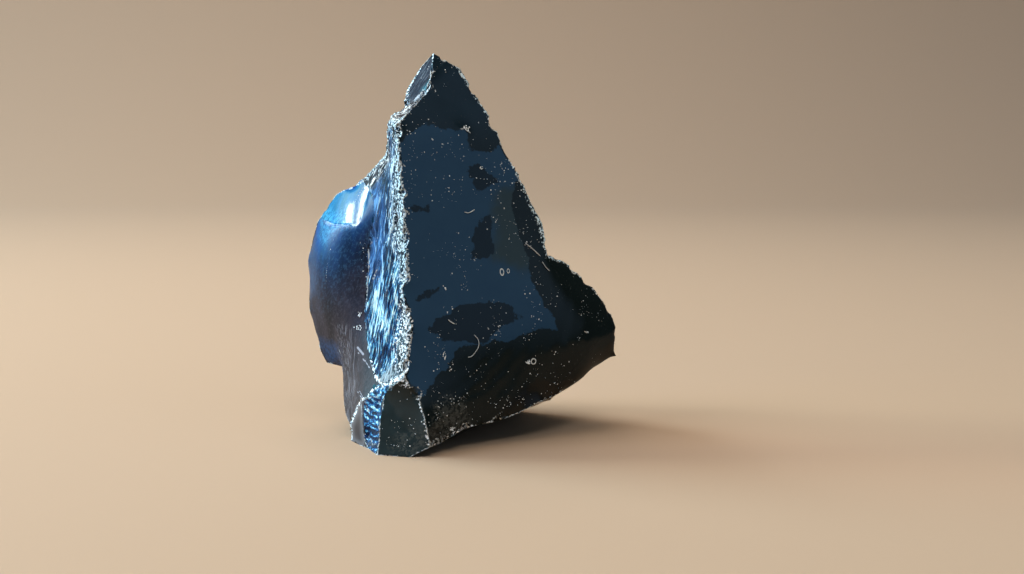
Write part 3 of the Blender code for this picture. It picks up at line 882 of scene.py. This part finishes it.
def bulb_and_wall(do):
    """Frosted glass with a painted reflection that runs from the floor's brown at the foot through plum to
    the royal blue of the light at the top of the bulb.
    """
    lean = do.shift(-0.034, 0.6 * MM, do.wander)
    height = do.sums("ADD", do.level, do.sums("MULTIPLY_ADD", do.across, -0.8, lean))
    height = do.times(height, 1 / 0.07)  # 0 to 1 over 70 mm
    # painted reflection: brown of the floor low, plum between, royal blue of the blue light high
    side = do.tones(
        height, (0.1, (0.043, 0.030, 0.029)), (0.36, (0.042, 0.029, 0.031)), (0.54, (0.026, 0.022, 0.031)),
        (0.66, (0.008, 0.015, 0.036)), (0.76, (0.003, 0.026, 0.090)), (0.86, (0.002, 0.050, 0.190)),
    )
    cloud = do.mottle((3, 3, 9), 4.0, 0.6, (0, 0.1, 0), 0.5)
    side = do.mix(do.step(cloud, 0.38, 0.62), do.mix(0.45, side, (0.002, 0.003, 0.006)), side)
    side = do.mix(do.times(do.within("gleam", 1.5), 0.8), side, (0.024, 0.048, 0.092))
    side = do.mix(do.times(do.within("shade", 1.2), 0.9), side, (0.005, 0.006, 0.009))
    glint = do.times(do.within("glint", 2.4), do.step(do.frost, 0.40, 0.56, 0.25, 1.0))
    side = do.mix(glint, side, (0.014, 0.055, 0.130))
    sparkle = do.times(do.within("sparkle", 1.5), do.step(do.frost, 0.46, 0.56, 0.1, 0.8))
    side = do.mix(sparkle, side, (0.050, 0.250, 0.450))
    # pale frost specks of the glass, tinted by the same painted reflection: mauve low, blue high
    frost_and_reflection = do.mix(do.step(height, 0.42, 0.70), (0.090, 0.070, 0.076), (0.045, 0.130, 0.220))
    side = do.mix(do.step(do.frost, 0.48, 0.62, 0.0, 0.75), side, do.mix(0.4, side, frost_and_reflection))
    return do.mix(scratches(do), side, (0.34, 0.32, 0.34))


def tip_side(do):
    """Slate streaks that slant across the side of the tip."""
    streak = do.mottle((0.4, 0.4, 5), 4.0, 0.65, (0, math.radians(30), 0), 0.2)
    return do.tones(
        streak,
        (0.38, (0.014, 0.020, 0.030)), (0.54, (0.035, 0.045, 0.058)), (0.66, (0.122, 0.140, 0.158)),
    )


def splinter_streaks(do, sloped):
    """How light the splinters are painted, from their own dark glass to painted highlights: dark gaps low,
    pale blades high, on a scale from about 0.4 to 0.7.
    """
    fibre = do.mottle((0.42, 0.42, 5), 4.0, 0.62, SPLINTER_LEAN, 0.6)
    slant = do.mottle((0.45, 0.45, 7), 3.0, 0.6, (0, math.radians(39), 0), 0.3)
    fibre = do.shift(fibre, do.sums("SUBTRACT", slant, fibre), sloped)
    patch = do.mottle((2.4, 2.4, 8), 2.0, 0.5, SPLINTER_LEAN, 0.8)
    streak = do.sums("MULTIPLY_ADD", patch, 0.75, do.sums("MULTIPLY_ADD", fibre, 1.25, -0.51))
    streak = do.shift(streak, 0.06, do.within("bright", 1.5))
    streak = do.shift(streak, -0.16, do.within("lens", 0.6))
    streak = do.shift(streak, -0.4, do.step(do.number("crack"), -0.3, 0.1))
    ripple = do.times(do.mottle((1.5, 1.5, 0.9), 4.0, 0.65, sway=0.8), 0.85)
    ripple = do.shift(ripple, 0.13, do.shells((-25.5, -22, 18.5), 1.9, 3.5))
    ripple = do.sums("ADD", ripple, do.rise(2, 11, -0.06, 0.008))
    return do.shift(streak, do.sums("SUBTRACT", ripple, streak), do.within("strip", 0.4))


def splinters(do, streak, sloped):
    """Splinters with painted cyan-white highlights over navy low on the band, softer painted highlights
    above, and lilac, grey and cream in places.
    """
    # the cyan-white tops of these tones are painted highlights of the blue light, and the low band is painted
    # brighter than the high one
    low = do.tones(
        streak, (0.43, (0.003, 0.009, 0.028)), (0.50, (0.008, 0.050, 0.180)), (0.553, (0.030, 0.230, 0.450)),
        (0.595, (0.220, 0.640, 0.740)), (0.645, (0.800, 0.970, 0.950)),
    )
    high = do.tones(
        streak, (0.45, (0.004, 0.010, 0.022)), (0.525, (0.014, 0.045, 0.115)), (0.595, (0.045, 0.145, 0.290)),
        (0.64, (0.330, 0.600, 0.720)), (0.675, (0.860, 0.970, 0.940)),
    )
    lilac = do.tones(
        streak, (0.42, (0.022, 0.060, 0.150)), (0.50, (0.052, 0.170, 0.400)), (0.60, (0.115, 0.320, 0.600)),
        (0.67, (0.430, 0.690, 0.820)),
    )
    slope = do.tones(
        streak, (0.47, (0.012, 0.011, 0.014)), (0.52, (0.040, 0.036, 0.044)), (0.555, (0.220, 0.220, 0.240)),
        (0.60, (0.950, 0.940, 0.860)),
    )
    foot = do.tones(
        streak, (0.42, (0.030, 0.048, 0.060)), (0.52, (0.130, 0.175, 0.200)), (0.60, (0.420, 0.500, 0.520)),
    )
    shards = do.mix(do.rise(48, 62), low, high)
    shards = do.mix(do.within("lilac", 1.2), shards, lilac)
    shards = do.mix(sloped, shards, slope)
    return do.mix(do.within("band foot", 0.8), shards, foot)


def obsidian():
    """The glass: near-black, a painted blue reflection on the front, painted reflections on the bulb, pale
    splinters with painted cyan highlights, crushed ridges, thin edges smoky brown.
    """
    do = Glass(bpy.data.materials.new("obsidian"))
    walled = do.within("left side", 0.4)
    ankle = do.within("ankle", 0.5)
    splinter = do.within("splinter", 0.3)
    sloped = do.most(do.within("slope", 0.8), do.within("ledge", 0.5))
    streak = splinter_streaks(do, sloped)
    reach = do.number("crushing")
    fleck = do.step(do.shift(do.crumb, -0.075, reach), 0.465, 0.49)
    fleck = do.times(fleck, do.step(reach, 1.7, 1.2))
    nick = do.step(do.shift(do.grit, -0.6, do.number("ridge")), 0.37, 0.45)
    nick = do.times(nick, do.step(do.number("left side"), 1.0, 0.4))
    nick = do.times(nick, do.step(do.mottle(5, 2.0), 0.46, 0.54))

    grey = do.mix(do.step(do.number("ankle"), 0.2, 2.2), (0.135, 0.124, 0.124), (0.036, 0.030, 0.030))
    gaps = do.times(splinter, do.step(reach, 1.25, 0.85, 0.0, 0.85))
    crushed = do.tones(
        do.crumb, (0.46, (0.20, 0.30, 0.34)), (0.52, (0.60, 0.72, 0.74)), (0.56, (0.97, 0.97, 0.93)),
    )
    # painted light: higher up the pale crumbs take a cyan tint of the blue light
    crushed = do.mix(do.rise(42, 52, 0.0, 0.35), crushed, (0.40, 0.74, 0.86))
    colour = do.mix(walled, broad_faces(do), bulb_and_wall(do))
    colour = do.mix(do.within("tip side", 0.5), colour, tip_side(do))
    colour = do.mix(ankle, colour, grey)
    colour = do.mix(splinter, colour, splinters(do, streak, sloped))
    colour = do.mix(gaps, colour, (0.006, 0.010, 0.014))
    colour = do.mix(fleck, colour, crushed)
    colour = do.mix(nick, colour, (0.45, 0.45, 0.42))
    do.feed(do.shader.inputs["Base Color"], colour)

    facet = do.number("facet")
    frosted = do.times(do.step(facet, 0.9, 0.3), do.rise(22, 40, 0.5, 0.34))
    rough = do.step(do.mottle(4, 3.0), 0.3, 0.7, 0.05, 0.10)
    rough = do.most(rough, do.times(walled, frosted))
    rough = do.most(rough, do.times(splinter, 0.3))
    rough = do.most(rough, do.times(ankle, 0.35))
    rough = do.most(rough, do.step(do.number("cheek"), -3.0, 3.0, 0.0, 0.55))
    rough = do.most(rough, do.times(do.most(fleck, nick), 0.6))
    do.feed(do.shader.inputs["Roughness"], rough)
    do.shader.inputs["IOR"].default_value = 1.5
    do.shader.inputs["Specular IOR Level"].default_value = 0.17

    skin = do.bump(do.mottle(1.6, 4.0), 0.010, do.step(facet, 0.3, -0.1, 0.1, 0.5))
    skin = do.bump(do.frost, 0.05, do.times(walled, do.step(facet, 0.3, -0.1, 0.15, 0.6)), skin)
    skin = do.bump(streak, 0.5, do.times(splinter, 0.9), skin)
    skin = do.bump(do.crumb, 0.3, fleck, skin)
    do.feed(do.shader.inputs["Normal"], skin)
    return do.holder


def plain(name, colour, roughness):
    """A finish of one colour all over."""
    do = Recipe(bpy.data.materials.new(name))
    do.feed(do.shader.inputs["Base Color"], colour)
    do.feed(do.shader.inputs["Roughness"], roughness)
    return do.holder


# ---------------------------------------------------------------- the studio

FLOOR_SIZE = (4, 2.6, 1)
WALL_HEIGHT = 1.6
WALL_CURVE = 0.5
STUDIO_MIDDLE = (0, 0, 50)  # what the lamps aim at

# Each lamp stands at this turn in degrees (0 in front, 90 to the right) and rise above the stone's middle.
# It looks this many degrees wide and tall from there, stands this many metres off, glows with this colour and
# strength, and leans by its roll.
PANELS = [
    ("near pane", -93.5, 22, 2.5, 13.5, 1.0, (75, 84, 80), 26),
    ("far pane", -98.2, 17.7, 2.5, 6.5, 1.0, (75, 84, 80), 34),
    ("window", -118, 42, 22, 16, 2.0, (15, 19, 22), 0),
    ("left key", -78, 46, 16, 16, 2.5, (14.5, 16, 16.6), 0),
    ("overhead", -140, 72, 46, 46, 0.9, (4.0, 3.6, 3.1), 0),
    ("fill", 12, 60, 30, 20, 1.0, (4.6, 4.7, 4.8), 0),
]
ROOM = (0.08, 0.10, 0.105)  # the light from all around
BACKDROP = (0.22, 0.15, 0.10)
GLOWS = [  # soft glows in the room: turn, rise, how many degrees out they fade away, colour
    (-85, 18, 32, (0.05, 1.25, 3.9)), (-110, 18, 17, (1.1, 6.3, 8.2)), (-99, 21, 11, (6.0, 9.0, 7.5)),
    (-143, 3, 16, (1.3, 1.9, 2.6)), (60, 22, 28, (0.4, 0.6, 0.9)),
]

EYE = (14.5, -430, 105.5)
EYE_DIP = math.radians(8)


def pick_back_edge(floor):
    """Selects the edge of the sheet that lies on the ground at the back."""
    bpy.ops.mesh.select_all(action="DESELECT")
    sheet = bmesh.from_edit_mesh(floor.data)
    for edge in sheet.edges:
        edge.select = all(abs(end.co.z) < 1e-6 and end.co.y > 1 for end in edge.verts)
    bmesh.update_edit_mesh(floor.data)


def make_floor():
    """A plain pale floor that sweeps up into a wall."""
    bpy.ops.object.select_all(action="DESELECT")
    bpy.ops.mesh.primitive_plane_add(size=1, location=(0, 0, 0))
    floor = bpy.context.object
    floor.name = "floor"
    floor.scale = FLOOR_SIZE
    bpy.ops.object.transform_apply(location=False, rotation=False, scale=True)
    bpy.ops.object.mode_set(mode="EDIT")
    bpy.ops.mesh.select_mode(type="EDGE")
    pick_back_edge(floor)
    bpy.ops.mesh.extrude_region_move(TRANSFORM_OT_translate={"value": (0, 0, WALL_HEIGHT)})
    pick_back_edge(floor)
    bpy.ops.mesh.bevel(offset=WALL_CURVE, segments=16)
    bpy.ops.mesh.select_all(action="SELECT")
    bpy.ops.mesh.normals_make_consistent(inside=False)
    bpy.ops.object.mode_set(mode="OBJECT")
    bpy.ops.object.shade_smooth()
    floor.data.materials.append(plain("floor cloth", (0.36, 0.235, 0.145), 0.9))


def towards(turn, rise):
    """The direction at this turn and rise in degrees, seen from the stone."""
    turn, rise = math.radians(turn), math.radians(rise)
    return Vector((math.sin(turn) * math.cos(rise), -math.cos(turn) * math.cos(rise), math.sin(rise)))


def add_panel(name, turn, rise, wide, tall, distance, glow, roll):
    """A soft rectangular lamp aimed at the stone."""
    width, height = (2 * distance * math.tan(math.radians(angle / 2)) for angle in (wide, tall))
    lamp = bpy.data.lights.new(name, "AREA")
    lamp.shape = "RECTANGLE"
    lamp.size, lamp.size_y = width, height
    lamp.energy = math.pi * width * height * max(glow)
    lamp.color = [part / max(glow) for part in glow]
    holder = bpy.data.objects.new(name, lamp)
    bpy.context.scene.collection.objects.link(holder)
    aim = towards(turn, rise)
    holder.location = spot(*STUDIO_MIDDLE) + aim * distance
    lean = Matrix.Rotation(math.radians(roll), 3, "Z")
    holder.rotation_euler = (aim.to_track_quat("Z", "Y").to_matrix() @ lean).to_euler()
    holder.visible_camera = False


def light_studio():
    """The lamps, and the room's own light with its glows; the backdrop itself is plain."""
    for panel in PANELS:
        add_panel(*panel)
    world = bpy.data.worlds.new("studio")
    do = Recipe(world, "Generated")
    around = ROOM
    for turn, rise, radius, colour in GLOWS:
        along = do.arrows("DOT_PRODUCT", do.place, towards(turn, rise))
        share = do.step(along, math.cos(math.radians(radius)), 1.0)
        around = do.mix(share, around, colour, "ADD")
    backdrop = do.nodes.new("ShaderNodeLightPath").outputs["Is Camera Ray"]
    do.feed(do.shader.inputs["Color"], do.mix(backdrop, around, BACKDROP))
    bpy.context.scene.world = world
    bpy.context.scene.view_settings.view_transform = "Standard"


def make_camera():
    lens = bpy.data.cameras.new("camera")
    lens.lens = 50
    lens.sensor_width = 36
    lens.clip_start = 0.01
    camera = bpy.data.objects.new("camera", lens)
    bpy.context.scene.collection.objects.link(camera)
    camera.location = spot(*EYE)
    camera.rotation_euler = (math.radians(90) - EYE_DIP, 0, 0)
    bpy.context.scene.camera = camera


bpy.ops.object.select_all(action="DESELECT")
stone = make_stone()
mark_relief(stone)
make_relief(stone)
mark_outlines(stone)
finish_stone(stone)
bpy.context.view_layer.update()
make_dust(stone)
make_rings(stone)
make_lint(stone)
make_floor()
light_studio()
make_camera()
bpy.context.view_layer.update()
